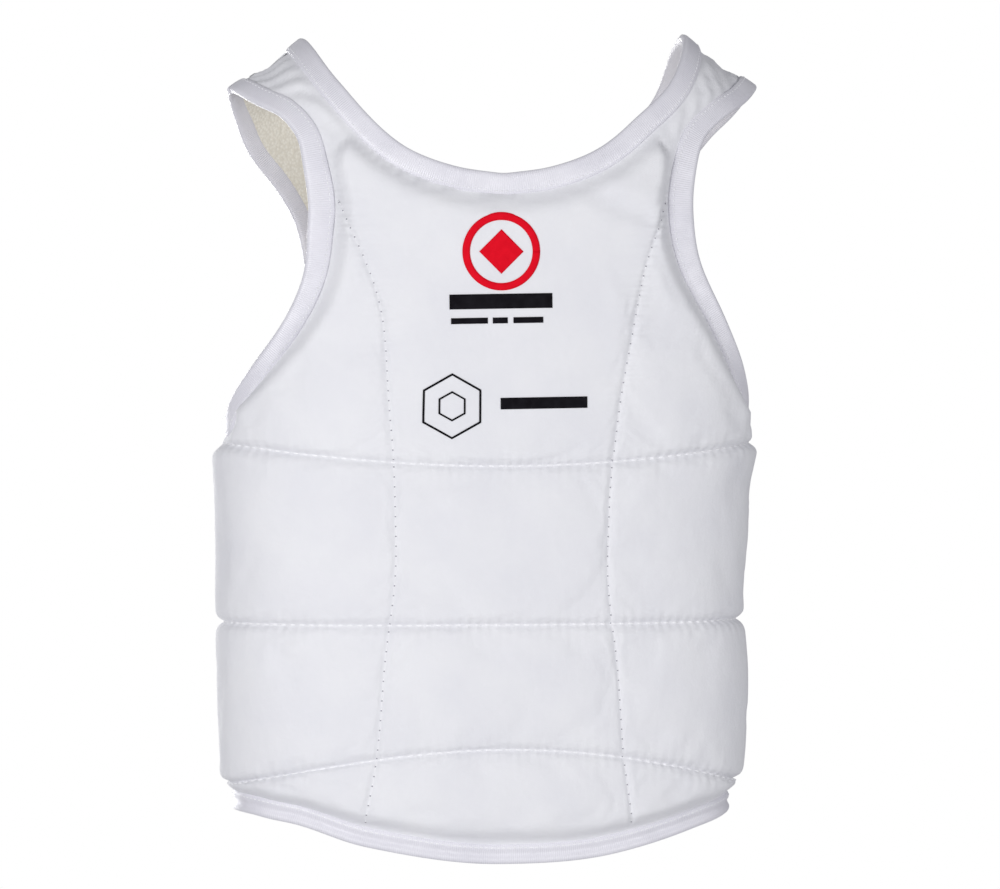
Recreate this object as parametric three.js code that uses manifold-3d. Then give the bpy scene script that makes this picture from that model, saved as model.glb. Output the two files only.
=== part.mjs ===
// Padded chest protector for karate sparring: a quilted front, two wings that wrap to the back,
// two shoulder flaps that close on the wings, and two elastic back bands.
// Units are millimetres. +Z is up, the front faces -Y, and the wearer's left side is +X.
// Every sheet is a layer of one torso surface, given by a girth angle phi (0 at the centre
// front, 90 at the wearer's left side, 180 at the centre back) and a height v up the sheet.
import * as THREE from 'three';
import { mergeVertices } from 'three/addons/utils/BufferGeometryUtils.js';
import Module from 'manifold-3d';

const wasm = await Module();
wasm.setup();

// ---------------------------------------------------------------- driving dimensions
const ROUNDNESS = 2.4;        // superellipse exponent of the torso's section
const HALF_WIDTH = 148;       // at the hem, inside the lining
const HALF_DEPTH = 60;
const WIDTH_RISE = 0.028;     // growth of the half width for each millimetre of height
const DEPTH_RISE = 0.03;
const SHOULDER_FLARE = 26;    // extra half width at the shoulders
const FLARE_START = 270;
const DOME = 400;             // above this height the straps curve back over the shoulders
const DOME_RATE = 100;        // sheet height for each radian around the dome
const CREST = 511;            // height of the shoulder line where |x| is CREST_X
const CREST_X = 118;
const CREST_SLOPE = 0.75;     // the shoulder line falls towards the arm

const GAP = 0.4;              // between layers that touch
const SHEET = 1;              // cover and lining cloth
const FOAM = 11;              // body foam
const FOAM_BASE = SHEET + GAP; // every foam starts just outside its lining
const THIN_FOAM = 2;          // foam in the straps and flaps
const WING_FOAM = 2.4;
const CHEST_TOP = 426;        // the chest pads end here, at the foot of the straps
const STRAP_FOOT = 432;       // and the straps' own foam starts here
const TAPE_WIDTH = 12;        // edge binding
const TAPE_THICK = 5.6;
const SEAM = 3;               // gap between neighbouring foam pads, under a quilting line
const PAD_INSET = 5;          // from the binding to the foam
const SIDE = 95;              // girth angle where the front meets a wing

const PANEL_HEM = 36;         // rise of the hem from the centre front to the sides
const BACK_HEM = 60;          // height of the hem at the back edges
const BACK_EDGE = 40;         // |x| of the wings' back edges
const WING_TOP = 315;
const UNDERARM = 275;
const FLAP_BOTTOM = 245;
const FLAP_INNER = 23.5;      // |x| of a flap's edges on the back
const FLAP_OUTER = 104;
const FLAP_LIFT = 9.8;        // how far a flap's lower end lies outside the torso surface
const ELASTIC = 1.6;
const PATCH = 1.3;            // hook or loop tape
const LOOP_LIFT = TAPE_THICK; // loop patches lie level with the bindings' outer faces
const HOOK_LIFT = LOOP_LIFT + PATCH + GAP;
const FLAP_PATCH = [56, 89];  // |x| of the sides of a flap's patches
const FLAP_PATCH_HEIGHT = 40;
const BAND_LOOPS = 58;        // x where a band's loop patch starts
const BAND_HOOKS = 62;        // and its hook patch
const PATCH_MARGIN = 2;       // from a hook patch to the elastic's edge
const BAND_WIDTH = 50;
const BAND_HEIGHTS = { upper_band: 200, lower_band: 110 };
const BAND_END = 120;
const ROOT_LIFT = 4.2;        // of a band's inner face where it leaves the wing's edge
const BRIDGE_LIFT = 6.3;      // and where it passes the other wing's edge
const TAB_LIFT = 9.2;         // and over its hook tape

const COLUMN_STEP = 190 / 24; // degrees of girth between grid lines
const ROWS = [-20, 0, 12, 28, 50, 80, 115, 150, 200, 250, 290, 330, 365, DOME];
const DOME_STEPS = 6;
const WIDE = 300;             // cutting outlines reach this far to each side,
const TALL = 700;             // and this far up, clear of the whole vest
const DEEP = 200;             // and this far to the front and the back

// edges seen from the front, one side only, as [|x|, z] at the outer edge of the binding
const NECK = [[0, 424.5], [30, 429], [58, 440], [82, 461], [103, 488], [117, 512], [124, 535]];
const ARM = [[180, 489], [161, 479], [142, 468], [130, 456], [121, 443], [117, 424], [116.5, 400],
  [121, 372], [138, 337], [150, 312], [157, 293], [160, 283]];
const SEAM_LINE = [[112, 440], [97, 405], [85, 373], [75, 325], [67, 272], [64, 215], [64, 180],
  [69, 130], [73, 75], [82, 10], [86, -20]];
const FLAP_INSIDE = [[117, 520], [115.5, 505], [104, 470], [94, 451], [67, 434], [41, 429]];
const FLAP_OUTSIDE = [[163, 482], [141, 443], [119, 417], [106, 390], [FLAP_OUTER, 360]];
const FLAP_CORNER = 18;       // radius of the flaps' rounded corners

// ---------------------------------------------------------------- the torso surface
const rad = THREE.MathUtils.degToRad;
const CREST_END = DOME + DOME_RATE * rad(89.7); // sheets stop just short of the shoulder line
const smooth = THREE.MathUtils.smoothstep;
const mix = THREE.MathUtils.lerp;
const signedPower = (value, power) => Math.sign(value) * Math.abs(value) ** power;

const halfWidth = (z) => HALF_WIDTH + WIDTH_RISE * z + SHOULDER_FLARE * smooth(z, FLARE_START, DOME);
const halfDepth = (z) => HALF_DEPTH + DEPTH_RISE * z;
const crestHeight = (x) => CREST + CREST_SLOPE * (CREST_X - Math.abs(x));

function torso(phi, v) {
  const z = Math.min(v, DOME);
  const over = Math.max(v - DOME, 0) / DOME_RATE;
  const x = halfWidth(z) * signedPower(Math.sin(rad(phi)), 2 / ROUNDNESS);
  const y = -halfDepth(z) * signedPower(Math.cos(rad(phi)), 2 / ROUNDNESS);
  const rise = (crestHeight(x) - DOME) * Math.sin(over);
  return new THREE.Vector3(x, y * Math.cos(over), z + rise);
}

function outward(phi, v) {
  const step = 0.5;
  const along = torso(phi + step, v).sub(torso(phi - step, v));
  const up = torso(phi, v + step).sub(torso(phi, v - step));
  return along.cross(up).normalize();
}

const layerPoint = (phi, v, lift) => torso(phi, v).addScaledVector(outward(phi, v), lift);

// girth angle and sheet height of the torso point at x, z on the front or the back
function onSheet(x, z, back = false) {
  const low = Math.min(z, DOME);
  const ratio = Math.min(Math.abs(x) / halfWidth(low), 1);
  const phi = THREE.MathUtils.radToDeg(Math.asin(ratio ** (ROUNDNESS / 2)));
  const share = THREE.MathUtils.clamp((z - DOME) / (crestHeight(x) - DOME), 0, 1);
  const v = z > DOME ? Math.min(DOME + DOME_RATE * Math.asin(share), CREST_END) : z;
  return [Math.sign(x || 1) * (back ? 180 - phi : phi), v];
}

// ---------------------------------------------------------------- solids
const mesh = (geometry) => {
  const plain = new THREE.BufferGeometry();
  plain.setAttribute('position', geometry.getAttribute('position'));
  plain.setIndex(geometry.getIndex());
  const merged = mergeVertices(plain, 1e-4);
  const vertProperties = new Float32Array(merged.getAttribute('position').array);
  const triVerts = new Uint32Array(merged.getIndex().array);
  return new wasm.Mesh({ numProp: 3, vertProperties, triVerts });
};
const solid = (geometry) => new wasm.Manifold(mesh(geometry));

function geometryOf(body) {
  const { vertProperties, triVerts } = body.getMesh();
  const geometry = new THREE.BufferGeometry();
  geometry.setAttribute('position', new THREE.BufferAttribute(vertProperties, 3));
  geometry.setIndex(new THREE.BufferAttribute(triVerts, 1));
  return geometry;
}

// closed skin over rings of equal length, joined ring to ring and capped at both ends; the second
// half of a ring splits its quads the other way, so both faces of a sheet fold alike
function loftRings(rings, cap) {
  const points = rings.flat();
  const count = rings[0].length;
  const index = [];
  for (let ring = 0; ring + 1 < rings.length; ring += 1) {
    for (let side = 0; side < count; side += 1) {
      const a = ring * count + side;
      const b = ring * count + (side + 1) % count;
      const turned = 2 * side >= count;
      index.push(a, b, turned ? a + count : b + count);
      index.push(turned ? b : a, b + count, a + count);
    }
  }
  const last = (rings.length - 1) * count;
  for (const [p, q, r] of cap) {
    index.push(p, r, q, last + p, last + q, last + r);
  }
  const geometry = new THREE.BufferGeometry().setFromPoints(points);
  geometry.setIndex(index);
  return geometry;
}

const fill = (from, to, step) => {
  const values = [from];
  for (let value = Math.floor(from / step + 1.01) * step; value < to - step / 100; value += step) {
    values.push(value);
  }
  return [...values, to];
};

// layer of the torso between two lifts, over a span of girth angles and sheet heights
function layer(from, to, rows, inner, outer) {
  const rings = fill(from, to, COLUMN_STEP).map((phi) => {
    const low = rows.map((v) => layerPoint(phi, v, inner(phi, v)));
    const high = rows.map((v) => layerPoint(phi, v, outer(phi, v)));
    return [...low, ...high.reverse()];
  });
  const cap = [];
  for (let row = 0; row + 1 < rows.length; row += 1) {
    const far = 2 * rows.length - 1 - row;
    cap.push([row, row + 1, far - 1], [row, far - 1, far]);
  }
  const body = solid(loftRings(rings, cap));
  return body.volume() < 0 ? solid(loftRings(rings.reverse(), cap)) : body;
}

// prism along Y through an outline of [x, z] points
function prism(points, near, far) {
  const shape = new THREE.Shape(points.map(([x, z]) => new THREE.Vector2(x, z)));
  const geometry = new THREE.ExtrudeGeometry(shape, { depth: far - near, bevelEnabled: false });
  geometry.rotateX(Math.PI / 2);
  geometry.translate(0, far, 0);
  return solid(geometry);
}

// smooth line through [x, z] points, as evenly spaced [x, z] points
function spline(points, spacing = 8) {
  const curve = new THREE.CatmullRomCurve3(points.map(([x, z]) => new THREE.Vector3(x, z, 0)));
  const steps = Math.ceil(curve.getLength() / spacing);
  return curve.getSpacedPoints(steps).map((p) => [p.x, p.y]);
}

// the same line moved sideways, to the left of its direction
const shifted = (line, distance) => line.map(([x, z], at) => {
  const [x0, z0] = line[Math.max(at - 1, 0)];
  const [x1, z1] = line[Math.min(at + 1, line.length - 1)];
  const length = Math.hypot(x1 - x0, z1 - z0);
  return [x - distance * (z1 - z0) / length, z + distance * (x1 - x0) / length];
});

const mirrored = (line) => line.map(([x, z]) => [-x, z]).reverse();
const distanceTo = (line, x, z) => Math.min(...line.map(([a, b]) => Math.hypot(a - x, b - z)));

// tape along stations { phi, v, lift }, with a bevelled outer face
const SECTION = [[-0.5, 0], [0.5, 0], [0.5, 0.65], [0.3, 1], [-0.3, 1], [-0.5, 0.65]];
const SECTION_CAP = [[0, 1, 2], [0, 2, 5], [2, 3, 4], [2, 4, 5]];
function tape(stations, width = TAPE_WIDTH, thick = TAPE_THICK) {
  const middle = stations.map(({ phi, v, lift }) => layerPoint(phi, v, lift));
  const rings = stations.map(({ phi, v }, at) => {
    const ahead = middle[Math.min(at + 1, middle.length - 1)].clone();
    const along = ahead.sub(middle[Math.max(at - 1, 0)]).normalize();
    const across = along.clone().cross(outward(phi, v)).normalize();
    const out = across.clone().cross(along);
    return SECTION.map(([w, t]) => middle[at].clone()
      .addScaledVector(across, w * width).addScaledVector(out, t * thick));
  });
  const body = solid(loftRings(rings, SECTION_CAP));
  return body.volume() < 0 ? solid(loftRings(rings.reverse(), SECTION_CAP)) : body;
}

// ---------------------------------------------------------------- outlines
const neckSide = spline(NECK);
const neckLine = [...mirrored(neckSide), ...neckSide.slice(1)];
const armLine = spline(ARM);
const seamLine = spline(SEAM_LINE, 15);
const hemHeight = (x) => PANEL_HEM * (x / 160) ** 2;
const hemLine = fill(-200, 200, 12).map((x) => [x, hemHeight(x)]);
const TAPE_EDGE = TAPE_WIDTH + 1.5; // where the sheets stop, inside the binding's outer edge

const neckCut = (inset) => {
  const line = shifted(neckLine, -inset);
  return prism([...line, [WIDE, TALL], [-WIDE, TALL]], -DEEP, 0.1);
};
const armCut = (inset, side) => {
  const line = shifted(armLine, -inset);
  const low = UNDERARM - inset;
  const points = [...line, [152, low + 4], [154, low], [WIDE, low], [WIDE, 489]];
  return prism(points.map(([x, z]) => [side * x, z]), -DEEP, 80);
};
const hemCut = (inset) => {
  const line = shifted(hemLine, inset);
  return prism([...line, [WIDE, -90], [-WIDE, -90]], -DEEP, DEEP);
};

const quilting = [
  (x) => 247.5 + 15 * (x / 165) ** 2,
  () => 151,
  (x) => 75 - 23 * (x / 147) ** 2,
];

// height of the front's foam: full on the pads, thin on the straps and along every edge
function frontLoft(phi, v) {
  const { x, z } = torso(phi, v);
  const width = 1.3 * (SIDE - Math.abs(phi));
  const edges = Math.min(distanceTo(neckLine, x, z), distanceTo(armLine, Math.abs(x), z),
    z - hemHeight(x));
  const edge = smooth(edges, TAPE_WIDTH, TAPE_WIDTH + 14) * smooth(width, -4, 16);
  return mix(THIN_FOAM, FOAM, edge * (1 - smooth(z, 418, 440)));
}

// ---------------------------------------------------------------- scene graph
const COLOURS = {
  cover: [0xe6e5ea, 0.62], lining: [0xd9d2c6, 0.9], foam: [0xd8d4c4, 0.95],
  tape: [0xf0eef4, 0.45], elastic: [0xe8e6e4, 0.8], hook: [0xdcdcdc, 0.7], loop: [0xe9e9ec, 0.95],
};
const group = new THREE.Group();
const finished = Object.fromEntries(Object.entries(COLOURS).map(([slot, [color, roughness]]) => [
  slot, new THREE.MeshStandardMaterial({ color, roughness, metalness: 0 }),
]));

function add(name, slot, body) {
  const piece = new THREE.Mesh(geometryOf(body), finished[slot]);
  piece.name = name;
  group.add(piece);
}

const sides = [['left', 1], ['right', -1]];
const domeRows = fill(DOME, CREST_END, DOME_RATE * rad(90) / DOME_STEPS);
const frontRows = [...ROWS, ...domeRows.slice(1)];

// ---------------------------------------------------------------- front
function front() {
  const trim = [neckCut(TAPE_EDGE), armCut(TAPE_EDGE, 1), armCut(TAPE_EDGE, -1), hemCut(TAPE_EDGE)];
  const cut = (body, cuts) => cuts.reduce((rest, tool) => rest.subtract(tool), body);
  const sheet = (inner, outer) => layer(-SIDE, SIDE, frontRows, inner, outer);
  const foamTop = (phi, v) => FOAM_BASE + frontLoft(phi, v);
  const from = (height) => [[-WIDE, height], [WIDE, height], [WIDE, TALL], [-WIDE, TALL]];
  const frontOnly = 9;          // y that keeps a cut clear of the wings and flaps

  add('front_lining', 'lining', cut(sheet(() => 0, () => SHEET), trim));
  add('front_cover', 'cover', cut(
    sheet((phi, v) => foamTop(phi, v) + GAP, (phi, v) => foamTop(phi, v) + GAP + SHEET), trim));

  const inset = TAPE_EDGE + PAD_INSET;
  const padTrim = [neckCut(inset), armCut(inset, 1), armCut(inset, -1), hemCut(inset)];
  const foam = sheet(() => FOAM_BASE, foamTop);
  const pads = cut(foam, [...padTrim, prism(from(CHEST_TOP), -DEEP, frontOnly)]);
  const columns = [
    ['left', [...shifted(seamLine, SEAM / 2), [WIDE, -20], [WIDE, 440]]],
    ['centre', [...shifted(seamLine, -SEAM / 2), ...mirrored(shifted(seamLine, -SEAM / 2))]],
    ['right', [...mirrored(shifted(seamLine, SEAM / 2)), [-WIDE, 440], [-WIDE, -20]]],
  ];
  const spans = fill(-220, 220, 22);
  const heights = [() => 460, ...quilting, () => -60];
  ['chest', 'rib', 'belly', 'hem'].forEach((name, row) => {
    const top = spans.map((x) => [x, heights[row](x) - SEAM / 2]);
    const bottom = spans.map((x) => [x, heights[row + 1](x) + SEAM / 2]);
    const slice = pads.intersect(prism([...bottom, ...top.reverse()], -DEEP, DEEP));
    for (const [side, outline] of columns) {
      add(`${name}_pad_${side}`, 'foam', slice.intersect(prism(outline, -DEEP, DEEP)));
    }
  });
  for (const [name, side] of sides) {
    const half = from(STRAP_FOOT).map(([x, z]) => [side * Math.max(x, 10), z]);
    const reach = prism(half, -DEEP, frontOnly);
    add(`${name}_strap_foam`, 'foam', cut(foam, padTrim).intersect(reach));
  }
}

// ---------------------------------------------------------------- wings
const wingTop = (x) => mix(WING_TOP, UNDERARM, smooth(Math.abs(x), 112, 160));
const backHem = (x) => mix(BACK_HEM, hemHeight(149), smooth(Math.abs(x), BACK_EDGE, 146));
const wingRows = [20, 60, 150, 240, 280, 320];

function wings() {
  const foamTop = FOAM_BASE + WING_FOAM;
  for (const [name, side] of sides) {
    const reach = fill(BACK_EDGE + TAPE_EDGE, 240, 14);
    const outline = (inset) => [
      ...shifted(reach.map((x) => [x, backHem(x)]), inset),
      ...shifted(reach.map((x) => [x, wingTop(x)]), -inset).reverse(),
    ].map(([x, z]) => [side * Math.max(x, BACK_EDGE + TAPE_EDGE), z]);
    const sheet = (inner, outer) => {
      const span = [SIDE + 0.4, 180].map((phi) => side * phi).sort((a, b) => a - b);
      return layer(...span, wingRows, () => inner, () => outer);
    };
    const shape = prism(outline(TAPE_EDGE), -20, DEEP);
    const foamShape = prism(outline(TAPE_EDGE + SEAM), -20, DEEP);
    add(`${name}_wing_lining`, 'lining', sheet(0, SHEET).intersect(shape));
    add(`${name}_wing_foam`, 'foam', sheet(FOAM_BASE, foamTop).intersect(foamShape));
    add(`${name}_wing_cover`, 'cover', sheet(foamTop + GAP, foamTop + GAP + SHEET).intersect(shape));
  }
}

// ---------------------------------------------------------------- shoulder flaps
const flapLift = (z) => FLAP_LIFT * (1 - smooth(z, 322, 425));

function flapOutline() {
  const inside = spline(FLAP_INSIDE);
  const outside = spline(FLAP_OUTSIDE);
  const corner = (x, z, start) => [0, 22.5, 45, 67.5, 90].map((turn) => [
    x + FLAP_CORNER * Math.cos(rad(start + turn)), z + FLAP_CORNER * Math.sin(rad(start + turn))]);
  const low = FLAP_BOTTOM + FLAP_CORNER;
  const straight = (x, from, to) => fill(Math.min(from, to), Math.max(from, to), 12)
    .map((z) => [x, z]);
  return [
    ...inside.slice(0, -1),
    ...corner(FLAP_INNER + FLAP_CORNER, 429 - FLAP_CORNER, 90),
    ...straight(FLAP_INNER, low, 429 - FLAP_CORNER).slice(1, -1).reverse(),
    ...corner(FLAP_INNER + FLAP_CORNER, low, 180),
    ...corner(FLAP_OUTER - FLAP_CORNER, low, 270),
    ...straight(FLAP_OUTER, low, 360).slice(1, -1),
    ...outside.reverse(),
  ];
}

function flaps() {
  const foamTop = FOAM_BASE + THIN_FOAM;
  const line = flapOutline();
  const rows = [230, 260, 300, 322, 340, 358, 376, DOME,
    ...fill(DOME, CREST_END, DOME_RATE * rad(90) / DOME_STEPS).slice(1)];
  for (const [name, side] of sides) {
    const sheet = (inner, outer) => {
      const span = [92, 180].map((phi) => side * phi).sort((a, b) => a - b);
      const lift = (extra) => (phi, v) => flapLift(Math.min(v, DOME + 60)) + extra;
      return layer(...span, rows, lift(inner), lift(outer));
    };
    const cut = (inset) => prism(shifted(line, inset).map(([x, z]) => [side * x, z]), 0.3, DEEP);
    add(`${name}_flap_lining`, 'lining', sheet(0, SHEET).intersect(cut(TAPE_EDGE)));
    add(`${name}_flap_foam`, 'foam', sheet(FOAM_BASE, foamTop).intersect(cut(TAPE_EDGE + SEAM)));
    const cover = sheet(foamTop + GAP, foamTop + GAP + SHEET);
    add(`${name}_flap_cover`, 'cover', cover.intersect(cut(TAPE_EDGE)));

    const edge = belowCrest(shifted(line, TAPE_WIDTH / 2));
    add(`${name}_flap_binding`, 'tape', tape(stationsOf(edge, side, flapLift, true)));
  }
}

// ---------------------------------------------------------------- edge bindings
const stationsOf = (line, side, lift, back = false) => line.map(([x, z]) => {
  const [phi, v] = onSheet(side * x, z, back);
  return { phi, v, lift: lift(z) };
});
const flat = () => 0;

// the part of a line that lies below the shoulder line, with closer points where it ends there
function belowCrest(line) {
  const depth = ([x, z]) => crestHeight(x) - z;
  const kept = line.filter((point) => depth(point) > 0.5);
  const first = line.indexOf(kept[0]);
  const last = line.indexOf(kept[kept.length - 1]);
  const end = (inside, outside) => {
    if (!outside) return [];
    const reach = depth(inside) / (depth(inside) - depth(outside));
    return [0.5, 0.8, 0.95, 1].map((share) => [
      mix(inside[0], outside[0], share * reach), mix(inside[1], outside[1], share * reach)]);
  };
  return [
    ...end(line[first], line[first - 1]).reverse(), ...kept, ...end(line[last], line[last + 1]),
  ];
}

function bindings() {
  const neck = belowCrest(shifted(neckLine, -TAPE_WIDTH / 2));
  add('neck_binding', 'tape', tape(stationsOf(neck, 1, flat)));

  const hemAt = (phi) => {
    const { x } = torso(phi, 40);
    const height = Math.abs(phi) > 90 ? backHem(x) : hemHeight(x);
    return { phi, v: height + TAPE_WIDTH / 2, lift: 0 };
  };
  const [backEdge] = onSheet(BACK_EDGE, BACK_HEM, true);
  add('hem_binding', 'tape', tape(fill(-backEdge, backEdge, 5).map(hemAt)));

  for (const [name, side] of sides) {
    const down = belowCrest(shifted(armLine, -TAPE_WIDTH / 2));
    const under = [[84, 4], [90, 1], [96, 1.5]].map(([phi, rise]) => ({
      phi: side * phi, v: UNDERARM - TAPE_WIDTH / 2 + rise, lift: 0 }));
    const reach = fill(BACK_EDGE + TAPE_EDGE, 150, 9).reverse();
    const top = shifted(reach.map((x) => [x, wingTop(x)]), TAPE_WIDTH / 2);
    const stations = [
      ...stationsOf(down, side, flat), ...under, ...stationsOf(top, side, flat, true)];
    add(`${name}_armhole_binding`, 'tape', tape(stations));

    const edge = fill(BACK_HEM + TAPE_EDGE, WING_TOP, 40).map((z) => [BACK_EDGE + TAPE_WIDTH / 2, z]);
    add(`${name}_wing_edge_binding`, 'tape', tape(stationsOf(edge, side, flat, true)));
  }
}

// ---------------------------------------------------------------- hook and loop, elastic
const backLayer = (x0, x1, z0, z1, inner, outer) => {
  const [a] = onSheet(x0, z0, true);
  const [b] = onSheet(x1, z0, true);
  const span = [a, b].map((phi) => (phi < 0 ? phi + 360 : phi)).sort((p, q) => p - q);
  return layer(...span, fill(z0 - 5, z1 + 5, 20), inner, outer)
    .intersect(prism([[x0, z0], [x1, z0], [x1, z1], [x0, z1]], 0, DEEP));
};
const patch = (x0, x1, z0, z1, lift) => backLayer(x0, x1, z0, z1, () => lift, () => lift + PATCH);

function fasteners() {
  const foot = FLAP_BOTTOM + TAPE_EDGE + PATCH_MARGIN;
  for (const [name, side] of sides) {
    const [x0, x1] = FLAP_PATCH.map((x) => side * x).sort((a, b) => a - b);
    const box = [x0, x1, foot, foot + FLAP_PATCH_HEIGHT];
    add(`${name}_flap_loop_patch`, 'loop', patch(...box, LOOP_LIFT));
    add(`${name}_flap_hook_patch`, 'hook', patch(...box, HOOK_LIFT));
  }
  for (const [name, height] of Object.entries(BAND_HEIGHTS)) {
    const low = height - BAND_WIDTH / 2;
    const high = height + BAND_WIDTH / 2;
    const lift = (phi, v) => {
      const { x } = torso(phi, v);
      const bridge = mix(ROOT_LIFT, BRIDGE_LIFT, smooth(x, -BACK_EDGE, 20));
      return mix(bridge, TAB_LIFT, smooth(x, BACK_EDGE, BAND_LOOPS));
    };
    const stem = name.replace('_band', '');
    const hooks = [BAND_HOOKS, BAND_END - PATCH_MARGIN, low + PATCH_MARGIN, high - PATCH_MARGIN];
    add(`${stem}_band_loop_patch`, 'loop', patch(BAND_LOOPS, BAND_END + 8, low, high, LOOP_LIFT));
    add(`${stem}_band_hook_patch`, 'hook', patch(...hooks, HOOK_LIFT));
    add(`${stem}_band_elastic`, 'elastic',
      backLayer(GAP - BACK_EDGE, BAND_END, low, high, lift, (phi, v) => lift(phi, v) + ELASTIC));
  }
}

front();
wings();
flaps();
bindings();
fasteners();

export default group;
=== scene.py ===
"""Padded chest protector: quilted front, wings, shoulder flaps and elastic back bands.

Lengths in the shape functions are millimetres and are turned to metres where a mesh is made.
Every cloth is a layer of one torso surface, at a girth angle phi (degrees from the centre front,
positive towards the wearer's left) and a sheet height v, lifted off the body by some millimetres.
"""
import math

import bpy
import numpy as np
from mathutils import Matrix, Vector


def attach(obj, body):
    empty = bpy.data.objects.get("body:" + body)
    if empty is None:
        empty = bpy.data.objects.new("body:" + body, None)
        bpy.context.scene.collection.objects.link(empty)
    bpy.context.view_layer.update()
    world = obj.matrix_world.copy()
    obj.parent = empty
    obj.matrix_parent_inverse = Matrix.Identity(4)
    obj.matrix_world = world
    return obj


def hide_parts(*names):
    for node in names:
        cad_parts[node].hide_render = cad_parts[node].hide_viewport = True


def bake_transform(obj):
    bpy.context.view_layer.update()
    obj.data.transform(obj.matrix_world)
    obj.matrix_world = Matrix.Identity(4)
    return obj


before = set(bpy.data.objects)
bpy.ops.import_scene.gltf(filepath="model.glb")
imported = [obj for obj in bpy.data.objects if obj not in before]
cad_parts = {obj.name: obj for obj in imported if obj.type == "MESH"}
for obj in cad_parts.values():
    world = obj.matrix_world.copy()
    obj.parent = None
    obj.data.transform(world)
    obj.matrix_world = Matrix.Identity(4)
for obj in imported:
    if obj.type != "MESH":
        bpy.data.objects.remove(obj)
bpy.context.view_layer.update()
MM = 0.001

# ------------------------------------------------------------------ dimensions, as in the CAD
ROUNDNESS = 2.4
HALF_WIDTH, WIDTH_RISE = 148, 0.028
HALF_DEPTH, DEPTH_RISE = 60, 0.03
SHOULDER_FLARE, FLARE_START = 26, 270
DOME, DOME_RATE = 400, 100
CREST, CREST_X, CREST_SLOPE = 511, 118, 0.75
SIDE = 95
TAPE, TAPE_LIFT = 12, 2.6
PANEL_HEM, BACK_HEM = 36, 60
BACK_EDGE, WING_TOP, UNDERARM = 40, 315, 275
FLAP_BOTTOM, FLAP_INNER, FLAP_OUTER, FLAP_LIFT, FLAP_CORNER = 245, 23.5, 104, 9.8, 18
BAND_HEIGHTS = {"upper": 200, "lower": 110}
BAND_WIDTH, BAND_END = 50, 120
ROOT_LIFT, BRIDGE_LIFT, TAB_LIFT = 4.2, 6.3, 9.2
LOOP_LIFTS, HOOK_LIFTS = (5.7, 7.0), (7.3, 8.7)     # undersides and faces of the patches
FLAP_PATCH, FLAP_PATCH_HEIGHT = (56, 89), 40
BAND_LOOPS, BAND_HOOKS, PATCH_MARGIN = 58, 62, 2
ELASTIC_THICK = 1.6

NECK = [(0, 424.5), (30, 429), (58, 440), (82, 461), (103, 488), (117, 512), (124, 535)]
ARM = [(180, 489), (161, 479), (142, 468), (130, 456), (121, 443), (117, 424), (116.5, 400),
       (121, 372), (138, 337), (150, 312), (157, 293), (160, 283)]
SEAM_LINE = [(104, 420), (97, 405), (85, 373), (75, 325), (67, 272), (64, 215), (64, 180),
             (69, 130), (73, 75), (82, 10)]
FLAP_INSIDE = [(117, 520), (115.5, 505), (104, 470), (94, 451), (67, 434), (41, 429)]
FLAP_OUTSIDE = [(163, 482), (141, 443), (119, 417), (106, 390), (FLAP_OUTER, 360)]

CLOTH = 1.0       # thickness of the cover and the lining
FULL = 13.2       # lift of the cover's outer face over the pads
THIN = 4.6        # and over the straps, wings and flaps


# ------------------------------------------------------------------ small numeric helpers
def smooth(value, low, high):
    """0 below low, 1 above high, and 3t^2 - 2t^3 between them."""
    t = np.clip((value - low) / (high - low), 0, 1)
    return t * t * (3 - 2 * t)


def mix(a, b, t):
    return a + (b - a) * t


def signed_power(value, power):
    return np.sign(value) * np.abs(value) ** power


def rounded(distance, reach):
    """Quarter circle: 0 and steep at distance 0, level 1 from reach on."""
    t = 1 - np.clip(distance / reach, 0, 1)
    return np.sqrt(1 - t * t)


def spline(points, spacing=2.0):
    """Centripetal Catmull-Rom curve through 2-D points, evenly resampled."""
    p = np.array(points, float)
    p = np.vstack([2 * p[0] - p[1], p, 2 * p[-1] - p[-2]])
    knots = np.concatenate([[0], np.cumsum(np.hypot(*np.diff(p, axis=0).T) ** 0.5)])
    curve = []
    for i in range(1, len(p) - 2):
        t0, t1, t2, t3 = knots[i - 1:i + 3]
        t = np.linspace(t1, t2, 24, endpoint=False)[:, None]
        a1 = (t1 - t) / (t1 - t0) * p[i - 1] + (t - t0) / (t1 - t0) * p[i]
        a2 = (t2 - t) / (t2 - t1) * p[i] + (t - t1) / (t2 - t1) * p[i + 1]
        a3 = (t3 - t) / (t3 - t2) * p[i + 1] + (t - t2) / (t3 - t2) * p[i + 2]
        b1 = (t2 - t) / (t2 - t0) * a1 + (t - t0) / (t2 - t0) * a2
        b2 = (t3 - t) / (t3 - t1) * a2 + (t - t1) / (t3 - t1) * a3
        curve.append((t2 - t) / (t2 - t1) * b1 + (t - t1) / (t2 - t1) * b2)
    curve = np.vstack([*curve, p[-2:-1]])
    return resample(curve, spacing)


def lengths(line):
    """Distance of each point of a polyline from its start, along it."""
    return np.concatenate([[0], np.cumsum(np.linalg.norm(np.diff(line, axis=0), axis=1))])


def resample(line, spacing):
    """The same polyline with points every spacing along it."""
    length = lengths(line)
    steps = max(int(round(length[-1] / spacing)), 1)
    at = np.linspace(0, length[-1], steps + 1)
    return np.stack([np.interp(at, length, line[:, k]) for k in range(line.shape[1])], axis=1)


def shifted(line, distance):
    """A plane line moved sideways, to the left of its direction."""
    tangent = np.gradient(line, axis=0)
    tangent /= np.linalg.norm(tangent, axis=1)[:, None]
    return line + distance * np.stack([-tangent[:, 1], tangent[:, 0]], axis=1)


def mirrored(line):
    return line[::-1] * [-1, 1]


# ------------------------------------------------------------------ the torso surface
def half_width(z):
    return HALF_WIDTH + WIDTH_RISE * z + SHOULDER_FLARE * smooth(z, FLARE_START, DOME)


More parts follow.
